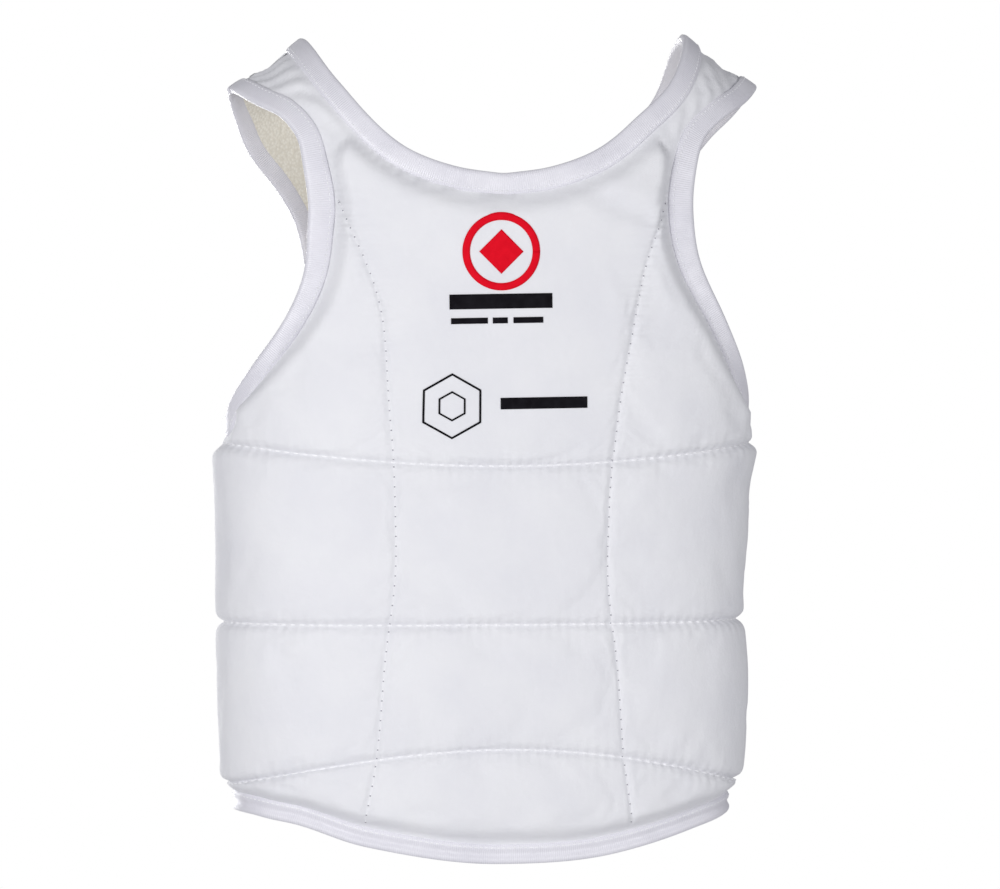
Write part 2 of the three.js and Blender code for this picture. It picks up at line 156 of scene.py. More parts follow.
def half_depth(z):
    return HALF_DEPTH + DEPTH_RISE * z


def crest_height(x):
    return CREST + CREST_SLOPE * (CREST_X - np.abs(x))


def torso(phi, v):
    """Superellipse section at height v; above DOME the section's points swing back over the
    shoulder on quarter ellipses that end on the sloping shoulder line at y = 0."""
    phi, v = np.broadcast_arrays(np.asarray(phi, float), np.asarray(v, float))
    z = np.minimum(v, DOME)
    over = np.maximum(v - DOME, 0) / DOME_RATE
    turn = np.radians(phi)
    x = half_width(z) * signed_power(np.sin(turn), 2 / ROUNDNESS)
    y = -half_depth(z) * signed_power(np.cos(turn), 2 / ROUNDNESS)
    rise = (crest_height(x) - DOME) * np.sin(over)
    return np.stack([x, y * np.cos(over), z + rise], axis=-1)


def unit(vectors):
    return vectors / np.maximum(np.linalg.norm(vectors, axis=-1, keepdims=True), 1e-12)


def outward(phi, v):
    step = 0.5
    along = torso(phi + step, v) - torso(phi - step, v)
    up = torso(phi, v + step) - torso(phi, v - step)
    return unit(np.cross(along, up))


def eased(value, knots):
    """Value read off a list of (position, amount) pairs, with smooth turns between them."""
    at, amount = np.array(knots, float).T
    k = np.clip(np.searchsorted(at, value) - 1, 0, len(at) - 2)
    return mix(amount[k], amount[k + 1], smooth((value - at[k]) / (at[k + 1] - at[k]), 0, 1))


# How the soft vest hangs off its even shape: sideways shift by height, at the wearer's right
# and left, how much the right shoulder sags, and how far the hem rises, by x.
HANG_RIGHT = [(0, -3), (110, -3.5), (200, -2), (270, -2), (335, 8), (395, -1), (430, -3),
              (480, 3), (515, 6)]
HANG_LEFT = [(0, -1), (110, 0), (170, -3.5), (225, -2), (270, 3.5), (400, 2), (450, 4),
             (475, 9), (515, 4)]
SAG_RIGHT = 4.5
STRAP_SINK, SINK_X, SINK_REACH = 5.5, 141, 13     # the strap's middle lies lower than its tapes
HEM_RISE = [(-160, 4), (-140, 8), (-118, 10), (-80, 6.5), (0, 4.5), (70, 2.5), (120, 2.5),
            (150, 0.5)]


def hung(points):
    """Points of the even shape moved to where the cloth hangs."""
    x, z = points[..., 0], points[..., 2]
    left = smooth(x, -110, 110)
    sideways = mix(eased(z, HANG_RIGHT), eased(z, HANG_LEFT), left) * smooth(np.abs(x), 30, 120)
    sag = SAG_RIGHT * smooth(z, 440, 500) * (1 - smooth(x, -120, 0))
    sag = sag + STRAP_SINK * np.exp(-((np.abs(x) - SINK_X) / SINK_REACH) ** 2) * smooth(z, 455, 492)
    rise = eased(x, HEM_RISE) * (1 - smooth(z, 15, 70)) * (points[..., 1] < 30)
    return points + np.stack([sideways, 0 * x, rise - sag], axis=-1)


def layer(phi, v, lift):
    return hung(torso(phi, v) + outward(phi, v) * np.asarray(lift, float)[..., None])


_ANGLES = np.linspace(0, 180, 3601)
_RING = torso(_ANGLES, np.full(_ANGLES.shape, 200.0))
_GIRTH = lengths(_RING)
GIRTH = _GIRTH[-1]                      # half the girth, at height 200
_WIDTH_200 = half_width(200.0)


def angle_at(girth):
    """Girth angle at a distance round the section, from the centre front."""
    return np.sign(girth) * np.interp(np.abs(girth), _GIRTH, _ANGLES)


def girth_at(phi):
    return np.sign(phi) * np.interp(np.abs(phi), _ANGLES, _GIRTH)


def pattern(phi, v):
    """Flat-cloth position: distance round the body and height up the sheet, nearly true to size."""
    return np.stack([girth_at(phi) * half_width(np.minimum(v, DOME)) / _WIDTH_200,
                     v + 0 * phi], axis=-1)


def on_sheet(x, z, back=False):
    """Girth angle and sheet height of the torso point at x, z on the front or the back."""
    x, z = np.asarray(x, float), np.asarray(z, float)
    ratio = np.minimum(np.abs(x) / half_width(np.minimum(z, DOME)), 1)
    phi = np.degrees(np.arcsin(ratio ** (ROUNDNESS / 2)))
    share = np.clip((z - DOME) / (crest_height(x) - DOME), 0, 1)
    v = np.where(z > DOME, DOME + DOME_RATE * np.arcsin(share), z)
    return np.where(x < 0, -1, 1) * (180 - phi if back else phi), v


def measure(line, p):
    """Distance of pattern points p from a polyline, signed positive to the left of its
    direction, and how far along the line the nearest point lies."""
    best = np.full(p.shape[:-1], np.inf)
    square = np.zeros(p.shape[:-1])     # how squarely the nearest segment is faced
    signed = np.zeros(p.shape[:-1])
    along = np.zeros(p.shape[:-1])
    start = 0.0
    for a, b in zip(line[:-1], line[1:]):
        d = b - a
        size = math.hypot(*d)
        t = np.clip(((p - a) @ d) / size ** 2, 0, 1)
        r = p - a - t[..., None] * d
        distance = np.hypot(r[..., 0], r[..., 1])
        off = (d[0] * r[..., 1] - d[1] * r[..., 0]) / size
        same = (np.abs(distance - best) < 1e-6) & (np.abs(off) > square)
        nearer = (distance < best - 1e-6) | same
        best = np.where(nearer, distance, best)
        square = np.where(nearer, np.abs(off), square)
        signed = np.where(nearer, np.where(off >= 0, distance, -distance), signed)
        along = np.where(nearer, start + t * size, along)
        start += size
    return signed, along


def inside(stations, edge_pattern, phi, v, mirror=True):
    """Distance of torso points from an edge line, positive on its cloth side; the side is read
    off the flat pattern and the distance in space."""
    here = np.abs(phi) if mirror else phi
    target = torso(here, v)
    edge = torso(stations[:, 0], stations[:, 1])
    best = np.full(target.shape[:-1], np.inf)
    for a, b in zip(edge[:-1], edge[1:]):
        d = b - a
        t = np.clip((target - a) @ d / (d @ d), 0, 1)
        best = np.minimum(best, np.linalg.norm(target - a - t[..., None] * d, axis=-1))
    return best * np.sign(-measure(edge_pattern, pattern(here, v))[0])


# ------------------------------------------------------------------ outlines
def hem_height(x):
    return PANEL_HEM * (x / 160) ** 2


def back_hem(x):
    return mix(BACK_HEM, hem_height(149), smooth(np.abs(x), BACK_EDGE, 146))


def wing_top(x):
    return mix(WING_TOP, UNDERARM, smooth(np.abs(x), 112, 160))


def sheet_line(line, side=1, back=False):
    """Front-view line as (phi, v) stations on the torso."""
    phi, v = on_sheet(side * line[:, 0], line[:, 1], back)
    return np.stack([phi, v], axis=1)


def to_pattern(stations):
    return pattern(stations[:, 0], stations[:, 1])


def below_crest(line):
    """The part of a line under the shoulder line, resampled closely where it ends there."""
    depth = crest_height(line[:, 0]) - line[:, 1]
    kept = np.flatnonzero(depth > 0)
    first, last = kept[0], kept[-1]
    pieces = [line[first:last + 1]]
    if first > 0:
        share = depth[first] / (depth[first] - depth[first - 1])
        pieces.insert(0, mix(line[first], line[first - 1], share)[None])
    if last < len(line) - 1:
        share = depth[last] / (depth[last] - depth[last + 1])
        pieces.append(mix(line[last], line[last + 1], share)[None])
    return np.vstack(pieces)


NECK_SIDE = spline(NECK)
NECK_LINE = np.vstack([mirrored(NECK_SIDE), NECK_SIDE[1:]])
ARM_LINE = spline(ARM)


def armhole(inset, side):
    """Stations of the armhole edge: down the front, under the arm and along the wing's top."""
    down = sheet_line(below_crest(shifted(ARM_LINE, -inset)), side)
    under = np.array([[84, UNDERARM + 4], [90, UNDERARM + 1], [96, UNDERARM + 1.5]])
    under = (under - [0, inset]) * [side, 1]
    x = np.arange(150, BACK_EDGE + 1, -3.0)
    top = sheet_line(shifted(np.stack([x, wing_top(x)], axis=1), inset), side, True)
    p = to_pattern(np.vstack([down, under, top]))
    return np.vstack([down, under, top]), p


def quilting(which, x):
    """Height of the horizontal quilting lines at a distance x from the centre."""
    if which == 0:
        return 247.5 + 15 * (x / 165) ** 2
    return 151 + 0 * x if which == 1 else 75 - 23 * (x / 147) ** 2


NECK_STATIONS = sheet_line(below_crest(NECK_LINE))
NECK_PATTERN = to_pattern(NECK_STATIONS)
ARM_STATIONS, ARM_PATTERN = armhole(0, 1)
SEAM_PATTERN = to_pattern(sheet_line(spline(SEAM_LINE)))
SIDE_GIRTH = girth_at(SIDE)


# ------------------------------------------------------------------ meshes
def place(name, points, faces, material, **attributes):
    """A mesh object from points in millimetres, with float point attributes."""
    mesh = bpy.data.meshes.new(name)
    mesh.from_pydata((np.asarray(points) * MM).tolist(), [], faces)
    for key, values in attributes.items():
        field = mesh.attributes.new(key, "FLOAT", "POINT")
        field.data.foreach_set("value", np.asarray(values, np.float32).ravel())
    mesh.polygons.foreach_set("use_smooth", [True] * len(mesh.polygons))
    mesh.materials.append(material)
    obj = bpy.data.objects.new(name, mesh)
    bpy.context.scene.collection.objects.link(obj)
    return obj


def corners(grid):
    """The four corner values of every cell of a grid, in turning order."""
    return np.stack([grid[:-1, :-1], grid[1:, :-1], grid[1:, 1:], grid[:-1, 1:]], axis=-1)


def slab(name, high, low, material, keep=None, **attributes):
    """A closed sheet between two grids of points (columns, rows, 3): high faces outwards, low
    faces the body, and walls join them along every edge of the cells that keep leaves in."""
    columns, rows = high.shape[:2]
    quads = corners(np.arange(columns * rows).reshape(columns, rows))
    if keep is not None:
        quads = quads[corners(keep).all(axis=-1)]
    used, quads = np.unique(quads.reshape(-1, 4), return_inverse=True)
    quads = quads.reshape(-1, 4)
    count = len(used)
    edges = np.stack([quads, np.roll(quads, -1, axis=1)], axis=-1).reshape(-1, 2)
    code = edges[:, 0] * count + edges[:, 1]
    rim = edges[~np.isin(code, edges[:, 1] * count + edges[:, 0])]
    walls = np.stack([rim[:, 1], rim[:, 0], rim[:, 0] + count, rim[:, 1] + count], axis=1)
    faces = np.vstack([quads, quads[:, ::-1] + count, walls]).tolist()
    points = np.vstack([high.reshape(-1, 3)[used], low.reshape(-1, 3)[used]])
    values = {key: np.tile(np.broadcast_to(value, (columns, rows)).ravel()[used], 2)
              for key, value in attributes.items()}
    return place(name, points, faces, material, **values)


def tube_faces(rings, around):
    """Faces of a tube with closed ends, over rings of so many points each."""
    index = np.arange(rings * around).reshape(rings, around)
    ahead = np.roll(index, -1, axis=1)
    quads = np.stack([index[:-1], ahead[:-1], ahead[1:], index[1:]], axis=-1).reshape(-1, 4)
    return [*quads, index[0][::-1], index[-1]]


def sweep(name, centre, out, section, material):
    """Carries a closed section along a path: section gives (across, out) pairs in millimetres,
    one ring for all stations or one for each; across is the path's direction crossed with out."""
    along = unit(np.gradient(centre, axis=0))
    across = unit(np.cross(along, out))
    up = np.cross(across, along)
    section = np.broadcast_to(section, (len(centre), *np.shape(section)[-2:]))
    points = (centre[:, None] + section[..., :1] * across[:, None] + section[..., 1:] * up[:, None])
    stations, around = points.shape[:2]
    faces = [face.tolist() for face in tube_faces(stations, around)]
    return place(name, points.reshape(-1, 3), faces, material,
                 along=np.repeat(lengths(centre), around) * MM,
                 across=np.tile(section[0, :, 0], stations) * MM)


def stations_every(centre, out, pitch):
    """Points, directions and outward vectors at even distances along a path."""
    length = lengths(centre)
    at = np.arange(pitch / 2, length[-1] - pitch / 4, pitch)

    def take(values):
        return np.stack([np.interp(at, length, values[:, k]) for k in range(3)], axis=1)

    tangent = unit(take(unit(np.gradient(centre, axis=0))))
    return take(centre), tangent, unit(take(out))


def stitches(name, runs, pitch, size, radius, material, sink=0.5):
    """Thread dashes along several runs (centre, out): each is a six-sided spindle, highest in its
    middle and sunk into the cloth at both ends."""
    t = np.linspace(-1, 1, 5)
    thickness = radius * np.array([0.35, 0.9, 1.0, 0.9, 0.35])
    turn = np.linspace(0, -2 * np.pi, 6, endpoint=False)
    rings = np.stack([np.broadcast_to(t[:, None] * size / 2, (5, 6)),
                      thickness[:, None] * np.cos(turn), thickness[:, None] * np.sin(turn)], axis=-1)
    rings[..., 2] -= sink * (t ** 2)[:, None]
    local = rings.reshape(-1, 3)
    dash = tube_faces(5, 6)
    points, faces, count = [], [], 0
    for centre, out in runs:
        middle, tangent, up = stations_every(centre, out, pitch)
        across = unit(np.cross(tangent, up))
        up = np.cross(across, tangent)
        placed = (middle[:, None] + local[None, :, :1] * tangent[:, None]
                  + local[None, :, 1:2] * across[:, None] + local[None, :, 2:] * up[:, None])
        points.append(placed.reshape(-1, 3))
        for _ in range(len(middle)):
            faces += [(face + count).tolist() for face in dash]
            count += len(local)
    return place(name, np.vstack(points), faces, material)


# ------------------------------------------------------------------ materials
def shader(name, colour, roughness, slot, **sockets):
    """A principled material: constants sit on its own sockets."""
    made = bpy.data.materials.new(name)
    made.use_nodes = True
    made["slot"] = slot
    bsdf = made.node_tree.nodes["Principled BSDF"]
    bsdf.inputs["Base Color"].default_value = (*colour, 1)
    bsdf.inputs["Roughness"].default_value = roughness
    for key, value in sockets.items():
        bsdf.inputs[key.replace("_", " ")].default_value = value
    return made


class Nodes:
    """Short names for the texture nodes of one material."""

    def __init__(self, made):
        self.tree = made.node_tree
        self.bsdf = self.tree.nodes["Principled BSDF"]

    def add(self, kind, **inputs):
        new = self.tree.nodes.new(kind)
        for key, value in inputs.items():
            self.join(new.inputs[key.replace("_", " ")], value)
        return new

    def join(self, socket, value):
        if isinstance(value, bpy.types.NodeSocket):
            self.tree.links.new(value, socket)
        else:
            socket.default_value = value

    def math(self, operation, a, b=0.0):
        new = self.tree.nodes.new("ShaderNodeMath")
        new.operation = operation
        self.join(new.inputs[0], a)
        self.join(new.inputs[1], b)
        return new.outputs[0]

    def point(self):
        return self.add("ShaderNodeTexCoord").outputs["Object"]

    def value(self, attribute):
        new = self.add("ShaderNodeAttribute")
        new.attribute_name = attribute
        return new.outputs["Fac"]

    def ripple(self, coordinate, pitch_mm):
        """Sine wave along a coordinate in metres."""
        return self.math("SINE", self.math("MULTIPLY", coordinate, 2 * math.pi / (pitch_mm * MM)))

    def fading(self, distance, reach_mm):
        """1 at distance 0, falling to 1/e at reach."""
        return self.math("POWER", math.e, self.math("DIVIDE", distance, -reach_mm * MM))

    def noise(self, size_mm, detail=2.0):
        return self.add("ShaderNodeTexNoise", Vector=self.point(), Scale=1 / (size_mm * MM),
                        Detail=detail).outputs["Fac"]

    def cells(self, size_mm):
        return self.add("ShaderNodeTexVoronoi", Vector=self.point(),
                        Scale=1 / (size_mm * MM)).outputs["Distance"]

    def tint(self, factor, low, high, dark, light):
        """Base colour from dark to light as factor goes from low to high."""
        ramp = self.add("ShaderNodeValToRGB", Fac=factor)
        for element, at, colour in zip(ramp.color_ramp.elements, (low, high), (dark, light)):
            element.position = at
            element.color = (*colour, 1)
        self.join(self.bsdf.inputs["Base Color"], ramp.outputs["Color"])

    def relief(self, height, depth_mm, strength=1.0):
        bump = self.add("ShaderNodeBump", Height=height, Strength=strength, Distance=depth_mm * MM)
        self.join(self.bsdf.inputs["Normal"], bump.outputs["Normal"])


def cover_cloth():
    """White polyester: fine plain weave, faint unevenness, and puckers along the quilting."""
    made = shader("cover_cloth", (0.80, 0.80, 0.83), 0.62, "cover", Sheen_Weight=0.25,
                  Sheen_Roughness=0.45, Specular_IOR_Level=0.3)
    n = Nodes(made)
    weave = n.math("MULTIPLY", n.ripple(n.value("girth"), 0.9), n.ripple(n.value("rise"), 0.9))
    across = n.math("MULTIPLY", n.ripple(n.value("girth"), 6.0), n.fading(n.value("row_gap"), 5))
    down = n.math("MULTIPLY", n.ripple(n.value("rise"), 6.0), n.fading(n.value("column_gap"), 6))
    high_up = n.math("SUBTRACT", n.math("MULTIPLY", n.value("rise"), 10.0), 2.0)
    high_up = n.math("MINIMUM", n.math("MAXIMUM", high_up, 0.3), 2.2)
    puckers = n.math("ADD", across, n.math("MULTIPLY", down, high_up))
    soft = n.math("MULTIPLY", n.noise(9, 3), 1.2)
    puckers = n.math("MULTIPLY", puckers, n.noise(17, 2))
    height = n.math("ADD", n.math("MULTIPLY", weave, 0.08),
                    n.math("ADD", n.math("MULTIPLY", puckers, 1.1), soft))
    n.relief(height, 0.4)
    n.tint(n.noise(35, 3), 0.3, 0.7, (0.775, 0.775, 0.81), (0.815, 0.815, 0.84))
    return made


def lining_mesh():
    """Cream knitted mesh with small round openings; the darker part of each cell is painted shade for
    the openings.
    """
    made = shader("lining_mesh", (0.78, 0.74, 0.64), 0.9, "lining", Sheen_Weight=0.2)
    n = Nodes(made)
    loops = n.cells(1.9)
    # The colour darkens from each cell's middle to its rim: painted shade for the mesh's openings.
    n.tint(loops, 0.1, 0.7, (0.84, 0.81, 0.73), (0.74, 0.70, 0.61))
    n.relief(loops, 0.4, 0.7)
    return made


def foam_cells():
    made = shader("foam_cells", (0.82, 0.79, 0.68), 0.95, "foam")
    n = Nodes(made)
    n.tint(n.noise(12), 0.3, 0.7, (0.79, 0.76, 0.65), (0.84, 0.81, 0.71))
    n.relief(n.cells(0.8), 0.2)
    return made


def satin_tape():
    """Glossy white binding with fine ribbing across its length; slow light and dark patches in its
    colour are painted sheen, and darker rib troughs are painted shade.
    """
    made = shader("satin_tape", (0.77, 0.76, 0.81), 0.34, "tape", Sheen_Weight=0.3,
                  Specular_IOR_Level=0.55)
    n = Nodes(made)
    rib_relief_and_shade = n.math("MULTIPLY", n.ripple(n.value("along"), 1.3), n.noise(9, 2))
    n.relief(n.math("ADD", rib_relief_and_shade, n.math("MULTIPLY", n.noise(11, 2), 2.5)), 0.12)
    # Base colour: slow noise as painted sheen, plus the ribbing darker in its troughs as painted shade.
    n.tint(n.math("ADD", n.math("MULTIPLY", rib_relief_and_shade, 0.25), n.noise(28, 3)), 0.25, 0.75,
           (0.72, 0.71, 0.77), (0.80, 0.79, 0.84))
    return made


def ribbed_elastic():
    """Woven elastic: raised cording along its length, crossed by a tight weft; its colour is darker in
    the grooves between, as painted shade.
    """
    made = shader("ribbed_elastic", (0.82, 0.82, 0.81), 0.75, "elastic", Sheen_Weight=0.2)
    n = Nodes(made)
    cord_relief_and_shade = n.math("ABSOLUTE", n.ripple(n.value("rise"), 4.4))
    weft = n.ripple(n.value("girth"), 0.9)
    height = n.math("ADD", cord_relief_and_shade, n.math("MULTIPLY", weft, 0.25))
    n.relief(height, 0.5)
    # The colour darkens in the grooves between the cording: painted shade.
    n.tint(cord_relief_and_shade, 0.0, 0.7, (0.68, 0.68, 0.67), (0.85, 0.85, 0.84))
    return made


def hook_tape():
    made = shader("hook_tape", (0.78, 0.78, 0.79), 0.5, "hook")
    n = Nodes(made)
    hook_relief_and_shade = n.math("MULTIPLY", n.ripple(n.value("girth"), 1.6), n.ripple(n.value("rise"), 1.6))
    # The colour is darkest in the dimples between the hooks: painted shade.
    n.tint(hook_relief_and_shade, 0.0, 0.8, (0.60, 0.60, 0.62), (0.85, 0.85, 0.86))
    n.relief(hook_relief_and_shade, 0.7)
    return made


def loop_tape():
    made = shader("loop_tape", (0.84, 0.84, 0.86), 0.95, "loop", Sheen_Weight=0.6)
    n = Nodes(made)
    fuzz = n.noise(1.4, 6)
    n.tint(fuzz, 0.3, 0.7, (0.70, 0.70, 0.73), (0.88, 0.88, 0.90))
    n.relief(fuzz, 1.0)
    return made


def sewing_thread():
    made = shader("sewing_thread", (0.93, 0.93, 0.95), 0.4, "cover", Sheen_Weight=0.3)
    n = Nodes(made)
    n.relief(n.noise(0.6, 1), 0.1)
    n.tint(n.noise(20), 0.3, 0.7, (0.84, 0.84, 0.86), (0.90, 0.90, 0.92))
    return made


def painted_hole_shade():
    # Dark grey: painted shade standing for the needle holes.
    made = shader("painted_hole_shade", (0.30, 0.30, 0.34), 0.9, "cover")
    n = Nodes(made)
    n.tint(n.noise(8), 0.3, 0.7, (0.27, 0.27, 0.31), (0.36, 0.36, 0.40))
    return made


def printed_ink(name, dark, light):
    """Screen print: the weave shows through a thin even film."""
    made = shader(name, light, 0.7, "cover", Specular_IOR_Level=0.08)
    n = Nodes(made)
    n.tint(n.noise(5, 3), 0.3, 0.7, dark, light)
    n.relief(n.noise(0.9, 2), 0.12)
    return made


COVER, LINING, FOAM, SATIN = cover_cloth(), lining_mesh(), foam_cells(), satin_tape()
ELASTIC, HOOK, LOOP = ribbed_elastic(), hook_tape(), loop_tape()
THREAD, HOLE_SHADE = sewing_thread(), painted_hole_shade()
RED = printed_ink("red_ink", (0.70, 0.002, 0.014), (0.78, 0.004, 0.018))
BLACK = printed_ink("black_ink", (0.004, 0.003, 0.005), (0.009, 0.008, 0.011))


# ------------------------------------------------------------------ the front's shape
NECK_WIDER = 1.5                        # the neck tape's extra width
ARM_WIDER, WIDER_AT, WIDER_REACH = 4.5, 405, 48     # and the armhole tapes', most at the chest


def arm_wider(v):
    return ARM_WIDER * np.exp(-((v - WIDER_AT) / WIDER_REACH) ** 2)


def front_gaps(phi, v):
    """Distances in the cloth from its edges, less the tapes' extra widths, and from the quilting."""
    mirrored_p = pattern(np.abs(phi), v)
    x = torso(phi, v)[..., 0]
    neck = inside(NECK_STATIONS, NECK_PATTERN, phi, v, mirror=False) - NECK_WIDER
    arm = inside(ARM_STATIONS, ARM_PATTERN, phi, v) - arm_wider(v)
    hem = v - hem_height(x)
    side = (SIDE_GIRTH - np.abs(girth_at(phi))) * half_width(np.minimum(v, DOME)) / _WIDTH_200
    rows = np.min([np.abs(v - quilting(k, x)) for k in range(3)], axis=0)
    columns = np.abs(measure(SEAM_PATTERN, mirrored_p)[0])
    return dict(neck=neck, arm=arm, hem=hem, side=side, rows=rows, columns=columns)


def taped_gap(gaps):
    """Distance from the nearest taped edge of the front."""
    return np.minimum(np.minimum(gaps["neck"], gaps["arm"]), gaps["hem"])


ROW_DIP, ROW_REACH = 4.6, 7.0          # quilting across the front: depth and shoulder radius
SIDE_DIP = 1.6                         # how much deeper it is drawn in at the sides
COLUMN_DIP, COLUMN_REACH = 2.1, 4.0    # and up the front
STITCH_FLAT = 0.7                      # half width of the flat bed under the thread
FOAM_START = TAPE + 2
FOAM_SHOULDER = 9.5
FOAM_TOP = 526                         # height of the foam's upper edge plus its distance from x = 0
STRAP_HIGH = 446                       # above this the straps hold wadding only
PAD_FLOOR = 1.6                        # lift of the pads' inner faces


def shoulder(distance, reach):
    """Quarter sine: rises evenly from 0 at distance 0 to level 1 at reach."""
    return np.sin(np.clip(distance / reach, 0, 1) * np.pi / 2)


def uneven(p):
    """Slow unevenness of sewn cloth: three crossed waves of 50 to 130 mm."""
    s, t = p[..., 0], p[..., 1]
    return (0.45 * np.sin(s / 17 + 0.6 * np.sin(t / 31)) * np.sin(t / 23 + 1.1)
            + 0.3 * np.sin(s / 9.5 + t / 14 + 2.0) + 0.2 * np.sin(s / 7 - t / 10.5))


def strap_folds(p):
    """Soft folds over the straps: slanting on the wearer's right, along the strap on the left."""
    s, t = p[..., 0], p[..., 1]
    slanting = np.sin((t + 1.0 * s + 3 * np.sin(s / 14)) * 2 * np.pi / 17)
    upright = np.sin((s + 0.12 * t) * 2 * np.pi / 11 + 0.8 * np.sin(t / 19))
    return (0.9 * slanting * (s < 0) + 0.6 * upright * (s > 0)) * smooth(t, 430, 452)


CREASE_X, CREASE_V, CREASE_SLOPE = 47, 410, -0.28
CREASE_DEPTH, CREASE_REACH = 3.0, 3.8
RIDGE_RISE, RIDGE_ABOVE, RIDGE_REACH = 1.2, 7.5, 4.5


def chest_crease(x, v):
    """A slanting crease under the left strap that ends at the seam, with a soft ridge above it."""
    off = v - (CREASE_V + CREASE_SLOPE * (x - CREASE_X))
    window = smooth(x, 36, 58) * (1 - smooth(x, 84, 92))
    return window * (RIDGE_RISE * np.exp(-((off - RIDGE_ABOVE) / RIDGE_REACH) ** 2)
                     - CREASE_DEPTH * np.exp(-(off / CREASE_REACH) ** 2))


def front_height(phi, v, gaps=None):
    """Lift of the cover's outer face: full on the foam, rounded down at every foam edge, pulled
    in along the quilting, and thin over the straps."""
    g = gaps or front_gaps(phi, v)
    edge = np.minimum(g["neck"], g["arm"]) - FOAM_START
    foam = shoulder(edge, FOAM_SHOULDER) * shoulder(g["hem"] - FOAM_START, 10)
    x = torso(phi, v)[..., 0]
    foam = foam * rounded(g["side"], 12) * rounded(1.2 * (FOAM_TOP - np.abs(x) - v), 11)
    row = 1 - rounded(np.maximum(g["rows"] - STITCH_FLAT, 0), ROW_REACH)
    row = 0.82 * row + 0.18 * np.exp(-g["rows"] / 22)
    column = 1 - rounded(np.maximum(g["columns"] - STITCH_FLAT, 0), COLUMN_REACH)
    column = 0.8 * column + 0.2 * np.exp(-g["columns"] / 20)
    deep = ROW_DIP + SIDE_DIP * smooth(np.abs(phi), 30, 75)
    dip = 1 - (1 - row * deep / 9) * (1 - column * COLUMN_DIP / 9)
    pad = FULL - THIN - 9 * dip
    p = pattern(phi, v)
    folds = 0.5 * uneven(p) * (0.35 + 0.65 * foam) + strap_folds(p) + foam * chest_crease(x, v)
    return THIN + foam * np.maximum(pad, 0) + folds


def sheet_grid(low_girth, high_girth, low_v, high_v, spacing):
    """Girth angles and heights of an even grid over a stretch of cloth."""
    columns = max(int(round((high_girth - low_girth) / spacing)), 1)
    rows = max(int(round((high_v - low_v) / spacing)), 1)
    phi = angle_at(np.linspace(low_girth, high_girth, columns + 1))
    return np.meshgrid(phi, np.linspace(low_v, high_v, rows + 1), indexing="ij")


def crowded(count, start, end):
    """Even steps from 0 to 1, drawn closer together at the start and the end by those shares."""
    t = np.linspace(0, 1, max(int(count), 2) + 1)
    both, single = (start + end) / 2, (start - end) / 2
    return t - both * np.sin(2 * np.pi * t) / (2 * np.pi) - single * np.sin(np.pi * t) / np.pi


FIELD_HEIGHTS = (75, 76, 97, 300)      # hem, belly, rib and chest fields, along the sheet
FIELD_WIDTHS = (140, 136, 140)         # right, centre and left fields
SEAM_CROWD, SIDE_CROWD = 0.6, 0.3      # how much closer grid lines lie at seams and side edges


def field_steps(sizes, crowds, spacing):
    """Grid lines over a row of fields, the k-th field from k to k + 1, closer at the seams."""
    parts = [crowded(size / spacing, *crowd) for size, crowd in zip(sizes, crowds)]
    return np.concatenate([k + part[(k > 0):] for k, part in enumerate(parts)])


def quilt_grid(spacing, bottom):
    """Angles and heights of a grid over the front whose lines run along the quilting, so that the
    grooves are evenly cut; the lowest line follows the hem, bottom above it."""
    heights = (FIELD_HEIGHTS[0] - bottom, *FIELD_HEIGHTS[1:])
    both = (SEAM_CROWD, SEAM_CROWD)
    up = field_steps(heights, [(0, SEAM_CROWD), both, both, (SEAM_CROWD, 0)], spacing)
    over = field_steps(FIELD_WIDTHS, [(SIDE_CROWD, SEAM_CROWD), both, (SEAM_CROWD, SIDE_CROWD)],
                       spacing)
    over, up = np.meshgrid(over, up, indexing="ij")
    seam = SEAM_PATTERN[::-1]
    girth, v = mix(-SIDE_GIRTH, SIDE_GIRTH, over / 3), mix(0, CREST_END, up / 4)
    for _ in range(6):
        phi = angle_at(girth)
        x = torso(phi, np.minimum(v, DOME))[..., 0]
        marks = [hem_height(x) + bottom, *(quilting(k, x) for k in (2, 1, 0)), CREST_END + 0 * x]
        v = marks[0] + sum((marks[k + 1] - marks[k]) * np.clip(up - k, 0, 1) for k in range(4))
        line = np.interp(v, seam[:, 1], seam[:, 0]) * _WIDTH_200 / half_width(np.minimum(v, DOME))
        girth = -SIDE_GIRTH + ((SIDE_GIRTH - line) * (np.clip(over, 0, 1) + np.clip(over - 2, 0, 1))
                               + 2 * line * np.clip(over - 1, 0, 1))
    return angle_at(girth), v


def cloth_fields(phi, v):
    p = pattern(phi, v)
    return dict(girth=p[..., 0] * MM, rise=p[..., 1] * MM)


SPACING = 2.4
LINING_SPACING = 3.0
CREST_END = DOME + DOME_RATE * math.pi / 2
TUCK = 4.0            # how far the sheets run in under the binding, from its outer edge
TUCK_LIFT = 2.6       # height of the cover's outer face under the binding


FULLNESS = 0.014                       # how much too large the cover is cut
RAISE_CAP, PRESS_CAP, SLIDE_SHARE = 1.3, 0.3, 0.4   # how far settling may move it
PRINT_X, PRINT_Z, PRINT_REACH = 58, 338, 70         # the field that stays smooth for the prints
SETTLE_STEPS = 16


